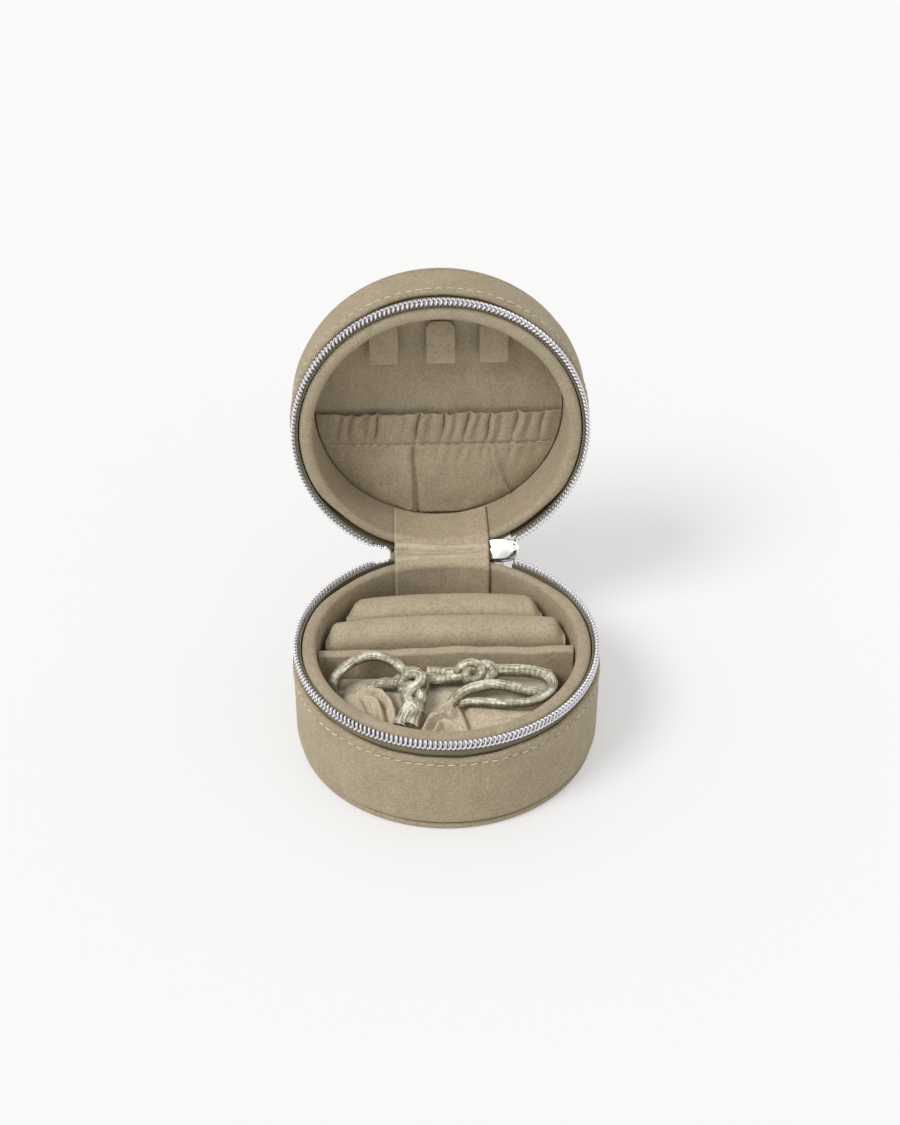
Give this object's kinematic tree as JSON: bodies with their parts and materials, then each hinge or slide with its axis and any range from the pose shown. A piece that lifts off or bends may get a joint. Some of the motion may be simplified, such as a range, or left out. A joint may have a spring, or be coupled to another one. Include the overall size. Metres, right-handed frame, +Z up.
{
  "type": "travel jewelry case",
  "caption": "Round velvet-covered travel jewelry case with a zipped clamshell lid, ring rolls, a divider, necklace tabs, a gathered lid pocket and a drawstring pouch inside.",
  "frame": {"origin": "middle of the bottom panel's underside, where the case stands", "axes": "+Z up, +Y towards the hinge, +X to the right seen from the front"},
  "size_m": [0.098, 0.1267, 0.1299],
  "materials": {
    "wall_velvet": "short taupe pile, matt, with a faint sheen",
    "lining_velvet": "brushed taupe velvet, matt",
    "pouch_velvet": "soft taupe velvet, matt",
    "greyboard": "raw grey paperboard",
    "zip_tape": "woven dark olive tape",
    "silver_coil": "silver metallised coil",
    "polished_metal": "polished nickel plate",
    "elastic": "woven elastic",
    "satin_cord": "braided champagne satin"
  },
  "bodies": {
    "base": {"base_bottom_panel": "wall_velvet", "base_collar_core": "greyboard", "base_collar_wrap": "wall_velvet", "base_floor_lining": "lining_velvet", "base_panel_board": "greyboard", "base_wall_board": "greyboard", "base_wall_cover": "wall_velvet", "base_zip_coil": "silver_coil", "base_zip_stop": "polished_metal", "base_zip_tape": "zip_tape", "divider_board": "greyboard", "divider_cover": "lining_velvet", "hinge_spine": "wall_velvet", "hinge_strip": "lining_velvet", "ring_roll_back": "lining_velvet", "ring_roll_front": "lining_velvet"},
    "lid": {"lid_collar_core": "greyboard", "lid_collar_wrap": "wall_velvet", "lid_lining": "lining_velvet", "lid_panel_board": "greyboard", "lid_pocket": "lining_velvet", "lid_top_panel": "wall_velvet", "lid_wall_board": "greyboard", "lid_wall_cover": "wall_velvet", "lid_zip_coil": "silver_coil", "lid_zip_stop": "polished_metal", "lid_zip_tape": "zip_tape", "pocket_elastic": "elastic", "snap_socket_center": "polished_metal", "snap_socket_left": "polished_metal", "snap_socket_right": "polished_metal"},
    "tab_center": {"necklace_tab_center": "lining_velvet", "snap_stud_center": "polished_metal"},
    "tab_left": {"necklace_tab_left": "lining_velvet", "snap_stud_left": "polished_metal"},
    "tab_right": {"necklace_tab_right": "lining_velvet", "snap_stud_right": "polished_metal"},
    "pouch": {"pouch_bag": "pouch_velvet", "pouch_cord_left": "satin_cord", "pouch_cord_right": "satin_cord", "pouch_knot_left": "satin_cord", "pouch_knot_right": "satin_cord", "pouch_strand_right": "satin_cord", "pouch_tail_left_a": "satin_cord", "pouch_tail_left_b": "satin_cord", "pouch_tail_right_a": "satin_cord", "pouch_tail_right_b": "satin_cord"},
    "zip_tail": {"zip_bottom_stop": "polished_metal", "zip_tail_tape": "zip_tape"},
    "pull": {"zip_pull": "polished_metal"},
    "slider": {"zip_slider": "polished_metal"}
  },
  "joints": [
    {"name": "lid_hinge", "type": "hinge", "parent": "base", "child": "lid", "pos_m": [0, 0.0457, 0.0355], "axis": [-1, 0, 0], "range_deg": [-93, 0], "deforming": ["hinge_strip", "hinge_spine"]},
    {"name": "zip_tail_turn", "type": "hinge", "parent": "base", "child": "zip_tail", "pos_m": [0, 0.0457, 0.0355], "axis": [-1, 0, 0], "range_deg": [-46.5, 0]},
    {"name": "slider_run", "type": "hinge", "parent": "zip_tail", "child": "slider", "pos_m": [0, 0.01504, 0.06941], "axis": [0, 0.7254, 0.6884], "range_deg": [-307.5, 0], "deforming": ["base_zip_coil", "lid_zip_coil", "base_zip_tape", "lid_zip_tape"]},
    {"name": "pull_swing", "type": "hinge", "parent": "slider", "child": "pull", "pos_m": [0.02093, 0.04698, 0.03575], "axis": [0, 0.7254, 0.6884], "range_deg": [-105, 30]},
    {"name": "tab_left_flip", "type": "hinge", "parent": "lid", "child": "tab_left", "pos_m": [-0.018, 0.07025, 0.11222], "axis": [-1, 0, 0], "range_deg": [0, 78]},
    {"name": "tab_center_flip", "type": "hinge", "parent": "lid", "child": "tab_center", "pos_m": [0.0006, 0.07025, 0.11222], "axis": [-1, 0, 0], "range_deg": [0, 78]},
    {"name": "tab_right_flip", "type": "hinge", "parent": "lid", "child": "tab_right", "pos_m": [0.018, 0.07025, 0.11222], "axis": [-1, 0, 0], "range_deg": [0, 78]},
    {"name": "pouch_lift", "type": "slide", "parent": "base", "child": "pouch", "axis": [0, 0, 1], "range_m": [0, 0.06]}
  ],
  "couplings": [
    {"joint": "zip_tail_turn", "follows": "lid_hinge", "ratio": 0.5}
  ]
}
